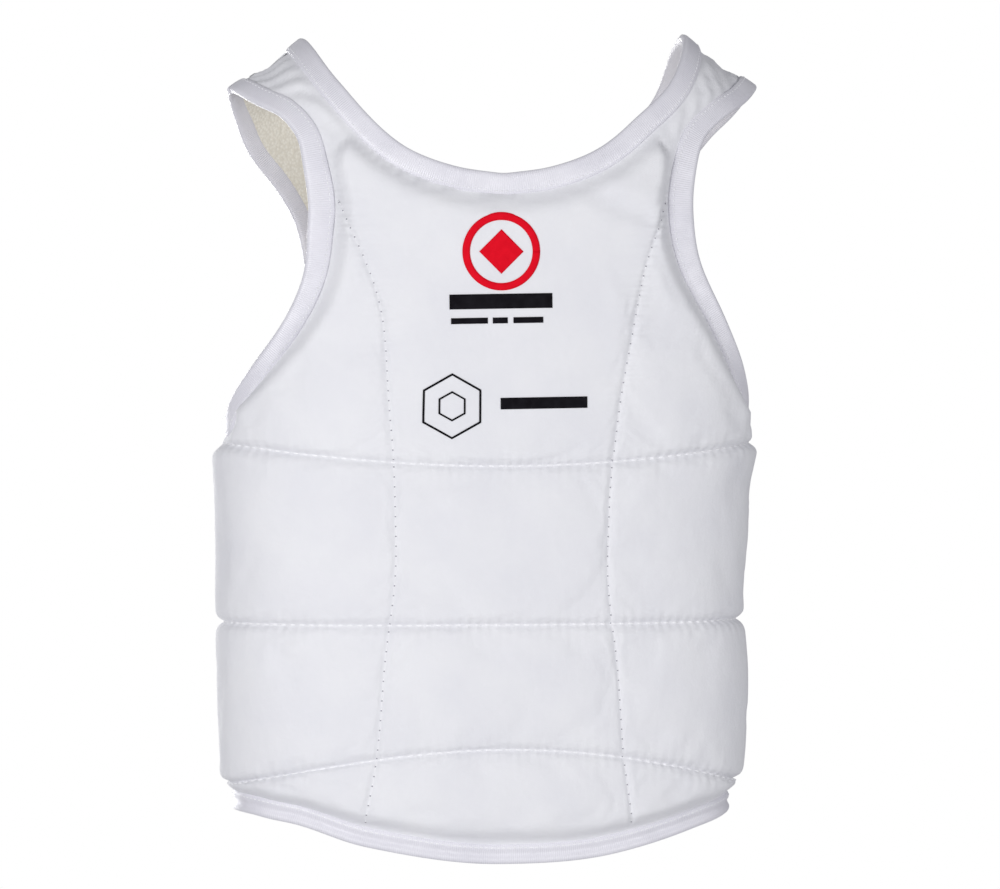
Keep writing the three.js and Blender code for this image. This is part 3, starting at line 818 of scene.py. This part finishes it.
def wrinkled(points, out, gaps, keep):
    """Lets the cover settle as cloth that is cut slightly too large for its quilting: it is held
    along the seams and bindings and pressed out by the pads; returns the points moved, at most
    RAISE_CAP outwards, hardly at all into the pads, and not at all where the prints lie."""
    used = np.flatnonzero(keep.ravel())
    order = np.full(keep.size, -1)
    order[used] = np.arange(len(used))
    quads = corners(order.reshape(keep.shape)).reshape(-1, 4)
    quads = quads[(quads >= 0).all(axis=1)]
    cloth = place("cover_pattern", points.reshape(-1, 3)[used], quads.tolist(), COVER)
    edge = taped_gap(gaps) - FOAM_START
    seam = np.minimum(np.minimum(gaps["rows"], gaps["columns"]), np.minimum(gaps["side"], edge))
    held = 1 - smooth(seam, 0.6, 3.0).ravel()[used]
    pins = cloth.vertex_groups.new(name="held")
    for weight in np.unique(np.round(held, 1)):
        pins.add(np.flatnonzero(np.round(held, 1) == weight).tolist(), float(weight), "REPLACE")
    soft = cloth.modifiers.new("settle", "CLOTH")
    settings = soft.settings
    settings.quality = 6
    settings.mass = 0.1
    settings.tension_stiffness = settings.compression_stiffness = 25
    settings.shear_stiffness = 8
    settings.bending_stiffness = 0.05
    settings.shrink_min = settings.shrink_max = -FULLNESS
    settings.use_pressure = True
    settings.uniform_pressure_force = 0.6
    settings.vertex_group_mass = "held"
    settings.effector_weights.gravity = 0
    soft.point_cache.frame_start, soft.point_cache.frame_end = 1, SETTLE_STEPS
    scene = bpy.context.scene
    for step in range(1, SETTLE_STEPS + 1):
        scene.frame_set(step)
    ready = cloth.evaluated_get(bpy.context.evaluated_depsgraph_get())
    flat = np.empty(len(used) * 3)
    ready.data.vertices.foreach_get("co", flat)
    moved = np.zeros((keep.size, 3))
    moved[used] = flat.reshape(-1, 3) / MM - points.reshape(-1, 3)[used]
    moved = moved.reshape(points.shape)
    raised = np.sum(moved * out, axis=-1, keepdims=True)
    moved = SLIDE_SHARE * (moved - raised * out)
    size = np.linalg.norm(moved, axis=-1, keepdims=True)
    moved *= np.tanh(size) / np.maximum(size, 1e-9)
    limit = np.where(raised > 0, RAISE_CAP, PRESS_CAP)
    moved += out * (limit * np.tanh(raised / limit))
    x, z = points[..., 0], points[..., 2]
    off = np.maximum(np.maximum(np.abs(x) - PRINT_X, np.abs(z - PRINT_Z) - PRINT_REACH), 0)
    bpy.data.objects.remove(cloth)
    scene.frame_set(1)
    return points + moved * smooth(off, 0, 14)[..., None]


def front_sheet(spacing):
    """A quilted grid's angles, heights and gaps, and which of its points the sheets reach."""
    phi, v = quilt_grid(spacing, TUCK)
    gaps = front_gaps(phi, v)
    return phi, v, gaps, np.minimum(gaps["neck"], gaps["arm"]) > TUCK


def make_front():
    """The front's cover and lining: two sheets over one quilted grid, tucked under the tapes."""
    phi, v, gaps, keep = front_sheet(SPACING)
    lift = mix(TUCK_LIFT, front_height(phi, v, gaps), smooth(taped_gap(gaps), TAPE - 2, TAPE + 5))
    high = layer(phi, v, lift)
    high = wrinkled(high, outward(phi, v), gaps, keep)
    cover = slab("front_cover_cloth", high, high - CLOTH * outward(phi, v), COVER, keep,
                 row_gap=gaps["rows"] * MM, column_gap=gaps["columns"] * MM, **cloth_fields(phi, v))
    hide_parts("front_cover")

    phi, v, gaps, keep = front_sheet(LINING_SPACING)
    pull = 0.4 * np.exp(-np.minimum(gaps["rows"], gaps["columns"]) / 4)
    pull = np.maximum(pull, 0.5 * (1 - smooth(taped_gap(gaps), TAPE - 1, TAPE + 3)))
    lining = slab("front_lining_mesh", layer(phi, v, pull + CLOTH), layer(phi, v, pull), LINING, keep,
                  **cloth_fields(phi, v))
    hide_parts("front_lining")
    return [cover, lining]


def make_pads():
    """Foam pads: each fills its quilted field, 1.5 mm in from the stitches, between the sheets."""
    made = []
    phi, v = sheet_grid(-SIDE_GIRTH + 4, SIDE_GIRTH - 4, 8, CREST_END, 4)
    gaps = front_gaps(phi, v)
    x = torso(phi, v)[..., 0]
    edge = taped_gap(gaps) - FOAM_START
    high = np.maximum(front_height(phi, v, gaps) - CLOTH - 0.9 - np.abs(chest_crease(x, v)), 2.4)
    p = np.stack([np.abs(pattern(phi, v)[..., 0]), v], axis=-1)
    outer = measure(SEAM_PATTERN, p)[0]        # positive outside the seam line
    columns = {"left": (outer > 2) & (phi > 0), "centre": outer < -2, "right": (outer > 2) & (phi < 0)}
    rows = {"chest": v > quilting(0, x) + 2,
            "rib": (v < quilting(0, x) - 2) & (v > quilting(1, x) + 2),
            "belly": (v < quilting(1, x) - 2) & (v > quilting(2, x) + 2),
            "hem": v < quilting(2, x) - 2}
    straps, below = v > STRAP_HIGH - 4, v < STRAP_HIGH - 4
    fields = [(f"{side}_strap_wadding", f"{side}_strap_foam", in_side & straps)
              for side, in_side in (("left", phi > 0), ("right", phi < 0))]
    fields += [(f"{row}_foam_{column}", f"{row}_pad_{column}", in_row & in_column & below)
               for row, in_row in rows.items() for column, in_column in columns.items()]
    for name, node, field in fields:
        pad = slab(name, layer(phi, v, high), layer(phi, v, PAD_FLOOR + 0 * v), FOAM,
                   field & (edge > 1))
        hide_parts(node)
        made.append(pad)
    return made


# ------------------------------------------------------------------ edge bindings
TAPE_THICK = 5.4


def tape_section(groove):
    """Folded tape: flat towards the body, with a rolled ridge at the fold (negative side) and a
    lower sewn edge; groove presses a channel along its middle."""
    turn = np.linspace(0, -2 * np.pi, 26, endpoint=False)
    across = TAPE / 2 * signed_power(np.cos(turn), 0.8)
    up = TAPE_THICK / 2 * signed_power(np.sin(turn), 0.6)
    share = across / TAPE + 0.5
    top = 1 - 0.22 * share + 0.10 * np.exp(-((share - 0.14) / 0.1) ** 2)
    top = top - groove * np.exp(-((share - 0.52) / 0.13) ** 2)
    return np.stack([across, np.where(up > 0, up * top, up)], axis=1)


def track(stations, lift):
    """Points and outward directions along (phi, v) stations, evenly spaced."""
    points = layer(stations[:, 0], stations[:, 1], np.broadcast_to(lift, len(stations)))
    out = outward(stations[:, 0], stations[:, 1])
    both = np.hstack([points, out])
    length = lengths(points)
    at = np.linspace(0, length[-1], int(length[-1] / 2.5) + 1)
    both = np.stack([np.interp(at, length, both[:, k]) for k in range(6)], axis=1)
    soft = np.array([0.25, 0.5, 0.25])
    for _ in range(3):
        both[1:-1] = sum(w * both[k:len(both) - 2 + k] for k, w in enumerate(soft))
    return both[:, :3], unit(both[:, 3:])


def beside(centre, out, across_mm, up_mm):
    """A line that runs beside a track, moved across it and off the cloth."""
    along = unit(np.gradient(centre, axis=0))
    across = unit(np.cross(along, out))
    return centre + across_mm * across + up_mm * np.cross(across, along), out


def binding(name, stations, lift, node, groove=0.0, wider=None):
    """A tape along stations and its row of stitches; wider gives its extra width at each point
    of the track, all of it on the sewn side."""
    centre, out = track(stations, lift)
    extra = 1 + (0 * centre[:, 0] if wider is None else wider(centre)) / TAPE
    section = np.repeat(tape_section(groove)[None], len(centre), axis=0)
    section[..., 0] = (section[..., 0] + TAPE / 2) * extra[:, None] - TAPE / 2
    tape = sweep(name, centre, out, section, SATIN)
    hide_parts(node)
    seam = (3.9 + TAPE / 2) * extra[:, None] - TAPE / 2
    row = stitches(f"{name}_stitches", [beside(centre, out, seam, 2.0)], 3.4, 2.3, 0.34, THREAD, 0.3)
    return [tape, row]


def make_bindings():
    """Tapes along the neck, the hem, both armholes and both wings' back edges."""
    neck = sheet_line(below_crest(shifted(NECK_LINE, -TAPE / 2)))
    made = binding("neck_tape", neck, TAPE_LIFT, "neck_binding",
                   wider=lambda centre: NECK_WIDER + 0 * centre[:, 0])
    edge = float(on_sheet(BACK_EDGE, BACK_HEM, True)[0])
    phi = np.linspace(edge, -edge, 260)
    x = torso(phi, 40)[..., 0]
    hem = np.where(np.abs(phi) > 90, back_hem(x), hem_height(x)) + TAPE / 2
    made += binding("hem_tape", np.stack([phi, hem], axis=1), TAPE_LIFT, "hem_binding", 0.75)
    for name, side in (("left", 1), ("right", -1)):
        arm = armhole(TAPE / 2, side)[0][::side]
        made += binding(f"{name}_armhole_tape", arm, TAPE_LIFT, f"{name}_armhole_binding",
                        wider=lambda centre: arm_wider(centre[:, 2]) * (centre[:, 1] < 0))
        z = np.linspace(WING_TOP - 1, BACK_HEM + 1, 60)
        edge_line = np.stack([np.full(60, BACK_EDGE + TAPE / 2), z], axis=1)
        stations = sheet_line(edge_line, side, True)[::side]
        made += binding(f"{name}_wing_edge_tape", stations, TAPE_LIFT, f"{name}_wing_edge_binding")
    return made


# ------------------------------------------------------------------ wings
def sewn_panel(name, phi, v, inner, lift, base, foam_floor, filled):
    """A panel's cover, foam and lining, lift and base being the heights of its outer and inner
    faces: the sheets tuck under the tape, and the foam lies foam_floor over base where filled."""
    lift = mix(base + TUCK_LIFT, lift, smooth(inner, TAPE - 2, TAPE + 3))
    keep, fields = inner > TUCK, cloth_fields(phi, v)
    cover = slab(f"{name}_cloth", layer(phi, v, lift), layer(phi, v, lift - CLOTH), COVER, keep,
                 row_gap=1.0, column_gap=1.0, **fields)
    foam = slab(f"{name}_pad", layer(phi, v, lift - CLOTH - 0.3), layer(phi, v, base + foam_floor),
                FOAM, (inner > TAPE + 3) & filled)
    pull = base + 0.5 * (1 - smooth(inner, TAPE - 1, TAPE + 3))
    lining = slab(f"{name}_mesh", layer(phi, v, pull + CLOTH), layer(phi, v, pull), LINING, keep,
                  **fields)
    for piece, node in ((cover, "cover"), (foam, "foam"), (lining, "lining")):
        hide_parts(f"{name}_{node}")
    return [cover, foam, lining]


def wing_gaps(phi, v):
    x = np.abs(torso(phi, v)[..., 0])
    return dict(top=inside(ARM_STATIONS, ARM_PATTERN, phi, v), hem=v - back_hem(x), edge=x - BACK_EDGE,
                side=(np.abs(girth_at(phi)) - SIDE_GIRTH))


def make_wings():
    """Each wing is a cover, a thin foam and a lining, from the side seam to its back edge."""
    made = []
    for name, side in (("left", 1), ("right", -1)):
        ends = sorted([side * (SIDE_GIRTH + 0.3), side * GIRTH])
        phi, v = sheet_grid(*ends, 30, 330, 3)
        g = wing_gaps(phi, v)
        inner = np.minimum(np.minimum(g["top"], g["hem"]), g["edge"])
        lift = 4.6 + 1.0 * rounded(np.minimum(inner - TAPE, g["side"]), 9)
        lift = lift + 0.25 * uneven(pattern(phi, v))
        made += sewn_panel(f"{name}_wing", phi, v, inner, lift, 0 * v, 1.4, g["side"] > 3)
    return made


# ------------------------------------------------------------------ shoulder flaps
def flap_lift(v):
    return FLAP_LIFT * (1 - smooth(v, 322, 425))


def flap_outline():
    """Edge of a flap on the wearer's left, from the neck side of the shoulder down the back, round
    two quarter circles at the bottom, and up the arm side."""
    def corner(x, z, start):
        turn = np.radians(start + np.linspace(0, 90, 16))
        return np.stack([x + FLAP_CORNER * np.cos(turn), z + FLAP_CORNER * np.sin(turn)], axis=1)
    low = FLAP_BOTTOM + FLAP_CORNER
    line = np.vstack([
        spline(FLAP_INSIDE)[:-1],
        corner(FLAP_INNER + FLAP_CORNER, 429 - FLAP_CORNER, 90),
        corner(FLAP_INNER + FLAP_CORNER, low, 180),
        corner(FLAP_OUTER - FLAP_CORNER, low, 270),
        spline(FLAP_OUTSIDE)[::-1]])
    return resample(line, 2)


def make_flaps():
    """Each flap's cover, foam, lining and tape, by body: sheets lifted off the wing they close on."""
    made = {}
    line = flap_outline()
    edge = sheet_line(below_crest(line), 1, True)
    for name, side in (("left", 1), ("right", -1)):
        ends = sorted([side * float(girth_at(91.0)), side * GIRTH])
        phi, v = sheet_grid(*ends, FLAP_BOTTOM - 4, CREST_END, 2.5)
        inner = inside(edge, to_pattern(edge), phi, v)
        base = flap_lift(v)
        lift = base + 4.2 + 0.9 * rounded(inner - TAPE, 10) + 0.3 * uneven(pattern(phi, v))
        made[f"{name}_flap"] = sewn_panel(f"{name}_flap", phi, v, inner, lift, base, 1.3,
                                          v < CREST_END - 3)
        centre = below_crest(shifted(line, TAPE / 2))
        stations = sheet_line(centre, side, True)[::side]
        made[f"{name}_flap"] += binding(f"{name}_flap_tape", stations,
                                        TAPE_LIFT + flap_lift(stations[:, 1]), f"{name}_flap_binding")
    return made


# ------------------------------------------------------------------ hook and loop, elastic bands
def back_patch(name, x0, x1, z0, z1, low, high, material, node):
    """A sheet on the back between two x and two heights, with a softened rim; low and high are
    the lifts of its two faces, each a number or a function of x."""
    x, z = np.meshgrid(np.arange(x0, x1 + 0.1, 2.0), np.linspace(z0, z1, 26), indexing="ij")
    phi, v = on_sheet(x, z, True)
    phi, v, x = phi[::-1], v[::-1], x[::-1]
    rim = np.minimum(np.minimum(x - x0, x1 - x), np.minimum(v - z0, z1 - v))
    soft = 0.35 * (1 - rounded(rim, 1.6))
    low, high = (lift(x) if callable(lift) else lift + 0 * x for lift in (low, high))
    obj = slab(name, layer(phi, v, high - soft), layer(phi, v, low + soft), material,
               girth=x * MM, rise=v * MM)
    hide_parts(node)
    return obj


def band_lift(x):
    bridge = mix(ROOT_LIFT, BRIDGE_LIFT, smooth(x, -BACK_EDGE, 20))
    return mix(bridge, TAB_LIFT, smooth(x, BACK_EDGE, 58))


def make_fasteners():
    """Loop patches, which stay on the wings, and by body the hook patches and bands that move."""
    fixed, moving = [], {}
    low = FLAP_BOTTOM + TAPE + 3.5
    for name, side in (("left", 1), ("right", -1)):
        where = (*sorted(side * x for x in FLAP_PATCH), low, low + FLAP_PATCH_HEIGHT)
        fixed.append(back_patch(f"{name}_flap_loops", *where, *LOOP_LIFTS, LOOP,
                                f"{name}_flap_loop_patch"))
        moving[f"{name}_flap"] = [back_patch(f"{name}_flap_hooks", *where, *HOOK_LIFTS, HOOK,
                                             f"{name}_flap_hook_patch")]
    for name, height in BAND_HEIGHTS.items():
        z0, z1 = height - BAND_WIDTH / 2, height + BAND_WIDTH / 2
        fixed.append(back_patch(f"{name}_band_loops", BAND_LOOPS, BAND_END + 8, z0, z1, *LOOP_LIFTS,
                                LOOP, f"{name}_band_loop_patch"))
        hooks = back_patch(f"{name}_band_hooks", BAND_HOOKS, BAND_END - PATCH_MARGIN,
                           z0 + PATCH_MARGIN, z1 - PATCH_MARGIN, *HOOK_LIFTS, HOOK,
                           f"{name}_band_hook_patch")
        elastic = back_patch(f"{name}_band_webbing", 0.4 - BACK_EDGE, BAND_END, z0, z1, band_lift,
                             lambda x: band_lift(x) + ELASTIC_THICK, ELASTIC,
                             f"{name}_band_elastic")
        rows = []
        for x in (5 - BACK_EDGE, 11 - BACK_EDGE, BAND_END - 4, BAND_END - 11):
            z = np.linspace(z0 + 3, z1 - 3, 24)
            phi, v = on_sheet(np.full(24, float(x)), z, True)
            lift = np.full(24, float(band_lift(x)) + 1.75)
            rows.append((layer(phi, v, lift), outward(phi, v)))
        seam = stitches(f"{name}_band_stitches", rows, 3.2, 2.4, 0.36, THREAD, 0.3)
        moving[f"{name}_band"] = [hooks, elastic, seam]
    return fixed, moving


# ------------------------------------------------------------------ stitches and prints
def cover_run(stations, up):
    """A line on the front cover's outer face, raised by up."""
    phi, v = stations[:, 0], stations[:, 1]
    return layer(phi, v, front_height(phi, v) + up), outward(phi, v)


def make_quilting():
    """Thread along the quilting and side seams, and dark grey dots of painted shade for the needle
    holes up the front.
    """
    rows, columns = [], []
    for k in range(3):
        phi = angle_at(np.linspace(-SIDE_GIRTH + 2, SIDE_GIRTH - 2, 300))
        v = quilting(k, torso(phi, 200.0)[..., 0])
        clear = front_gaps(phi, v)["arm"] > TAPE
        rows.append(cover_run(np.stack([phi, v], axis=1)[clear], 0.25))
    line = spline(SEAM_LINE)
    for side in (1, -1):
        stations = sheet_line(line[line[:, 1] > hem_height(80) + TAPE], side)
        clear = front_gaps(stations[:, 0], stations[:, 1])["arm"] > TAPE + 1
        columns.append(cover_run(stations[clear], 0.1))
    v = np.linspace(hem_height(150) + TAPE, UNDERARM - TAPE, 120)
    sides = []
    for side in (1, -1):
        phi = angle_at(np.full(v.shape, side * (SIDE_GIRTH + 3)))
        sides.append((layer(phi, v, THIN + 0.5 + 0 * v), outward(phi, v)))
    return [stitches("cross_quilting_thread", rows, 6.0, 4.6, 0.55, THREAD, 0.9),
            stitches("upright_quilting_thread", columns, 6.0, 4.2, 0.4, THREAD, 0.7),
            # Dark dots at the stitch ends: painted shade of the needle holes.
            stitches("upright_hole_shade_dots", columns, 6.0, 1.0, 0.55, HOLE_SHADE, 0.0),
            stitches("side_seam_thread", sides, 3.6, 2.6, 0.34, THREAD, 0.4)]


FILM_UP, FILM_THICK = 0.35, 0.3
BADGE, MARK = (-3, 377.5), (-32, 284)  # centres of the two round prints


def film(name, x, z, material):
    """A printed film over a grid of front-view points, a hair off the cover."""
    phi, v = on_sheet(x, z)
    lift = front_height(phi, v) + FILM_UP
    return slab(name, layer(phi, v, lift), layer(phi, v, lift - FILM_THICK), material)


def bar(name, x, z, width, height, tilt, material=BLACK):
    """A rectangular block of print, centred at x, z."""
    u, w = np.meshgrid(np.linspace(-width / 2, width / 2, max(int(width), 2)),
                       np.linspace(-height / 2, height / 2, max(int(height), 3)), indexing="ij")
    turn = math.radians(tilt)
    return film(name, x + u * math.cos(turn) - w * math.sin(turn),
                z + u * math.sin(turn) + w * math.cos(turn), material)


def ring(name, x, z, inner, outer, material, corners=0):
    """A flat ring; with corners it is a regular polygon's outline instead of a circle's."""
    turn = np.linspace(0, 2 * np.pi, 121)
    if corners:
        sector = 2 * np.pi / corners
        shape = math.cos(sector / 2) / np.cos((turn + math.pi / 2) % sector - sector / 2)
    else:
        shape = np.ones_like(turn)
    radius, angle = np.meshgrid(np.linspace(outer, inner, 4), turn, indexing="ij")
    return film(name, x + radius * shape * np.cos(angle), z + radius * shape * np.sin(angle), material)


def make_prints():
    """Plain marks on the chest: a ringed diamond, bars and a double hexagon."""
    return [
        ring("badge_rim", *BADGE, 19.0, 23.5, RED),
        bar("badge_centre", *BADGE, 19, 19, 45, RED),
        bar("name_bar", -3, 347.5, 62, 9, 1.0),
        bar("tag_bar_short", -22, 335.6, 22, 3.6, 1.0),
        bar("tag_bar_middle", -3.5, 335.9, 9, 3.6, 1.0),
        bar("tag_bar_long", 13.5, 336.2, 18, 3.6, 1.0),
        ring("mark_rim", *MARK, 18.6, 20.0, BLACK, corners=6),
        ring("mark_core", *MARK, 8.0, 9.2, BLACK, corners=6),
        bar("grade_bar", 23, 286, 52, 7, 1.0),
    ]


# ------------------------------------------------------------------ build and ride
for piece in (*make_front(), *make_pads(), *make_bindings(), *make_wings(), *make_quilting(),
              *make_prints()):
    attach(piece, "vest")
fixed, moving = make_fasteners()
for piece in fixed:
    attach(piece, "vest")
for body, pieces in moving.items():
    for piece in pieces:
        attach(piece, body)
for body, pieces in make_flaps().items():
    for piece in pieces:
        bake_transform(piece)


# ------------------------------------------------------------------ studio
def aimed(name, data, place_at, direction):
    """Puts a lamp or camera in the scene, looking along a direction."""
    obj = bpy.data.objects.new(name, data)
    obj.location = place_at
    obj.rotation_euler = Vector(direction).to_track_quat("-Z", "Y").to_euler()
    bpy.context.scene.collection.objects.link(obj)
    return obj


def add_light(name, place_at, aim_height, size, power):
    """A round lamp aimed at a height on the vest's upright axis."""
    data = bpy.data.lights.new(name, "AREA")
    data.shape = "DISK"
    data.size = size
    data.energy = power
    aimed(name, data, place_at, np.array([0, 0, aim_height]) - np.array(place_at, float))


def make_studio():
    """Camera, three soft lights, an even white surround and a pale floor below the vest."""
    centre = np.array([0.0095, 0, 0.259])
    turn, rise, distance = math.radians(-9), math.radians(1), 3.444
    away = np.array([math.sin(turn) * math.cos(rise), -math.cos(turn) * math.cos(rise), math.sin(rise)])
    data = bpy.data.cameras.new("studio_camera")
    data.lens = 200
    bpy.context.scene.camera = aimed("studio_camera", data, centre + away * distance, -away)

    add_light("key", (-1.3, -1.7, 0.5), 0.3, 0.9, 23)
    add_light("fill", (1.8, -2.2, 0.3), 0.3, 1.2, 23)
    add_light("back", (-0.6, 2.6, 0.2), 0.25, 1.4, 30)

    world = bpy.data.worlds.new("studio")
    world.use_nodes = True
    world.node_tree.nodes["Background"].inputs["Color"].default_value = (0.93, 0.94, 1.0, 1)
    world.node_tree.nodes["Background"].inputs["Strength"].default_value = 0.32
    bpy.context.scene.world = world
    bpy.context.scene.view_settings.view_transform = "Standard"

    white = bpy.data.materials.new("backdrop_white")
    white.use_nodes = True
    tree = white.node_tree
    tree.nodes.remove(tree.nodes["Principled BSDF"])
    glow = tree.nodes.new("ShaderNodeEmission")
    glow.inputs["Strength"].default_value = 1.0
    tree.links.new(glow.outputs[0], tree.nodes["Material Output"].inputs["Surface"])
    bpy.ops.mesh.primitive_uv_sphere_add(radius=9, segments=48, ring_count=24)
    dome = bpy.context.object
    dome.name = "backdrop"
    dome.data.materials.append(white)
    for kind in ("diffuse", "glossy", "transmission", "volume_scatter", "shadow"):
        setattr(dome, f"visible_{kind}", False)
    floor_mat = shader("floor_paper", (0.84, 0.84, 0.85), 0.8, "floor")
    del floor_mat["slot"]
    bpy.ops.mesh.primitive_circle_add(vertices=96, radius=1.5, fill_type="NGON", location=(0, 0, -0.26))
    floor = bpy.context.object
    floor.name = "floor"
    floor.data.materials.append(floor_mat)


make_studio()
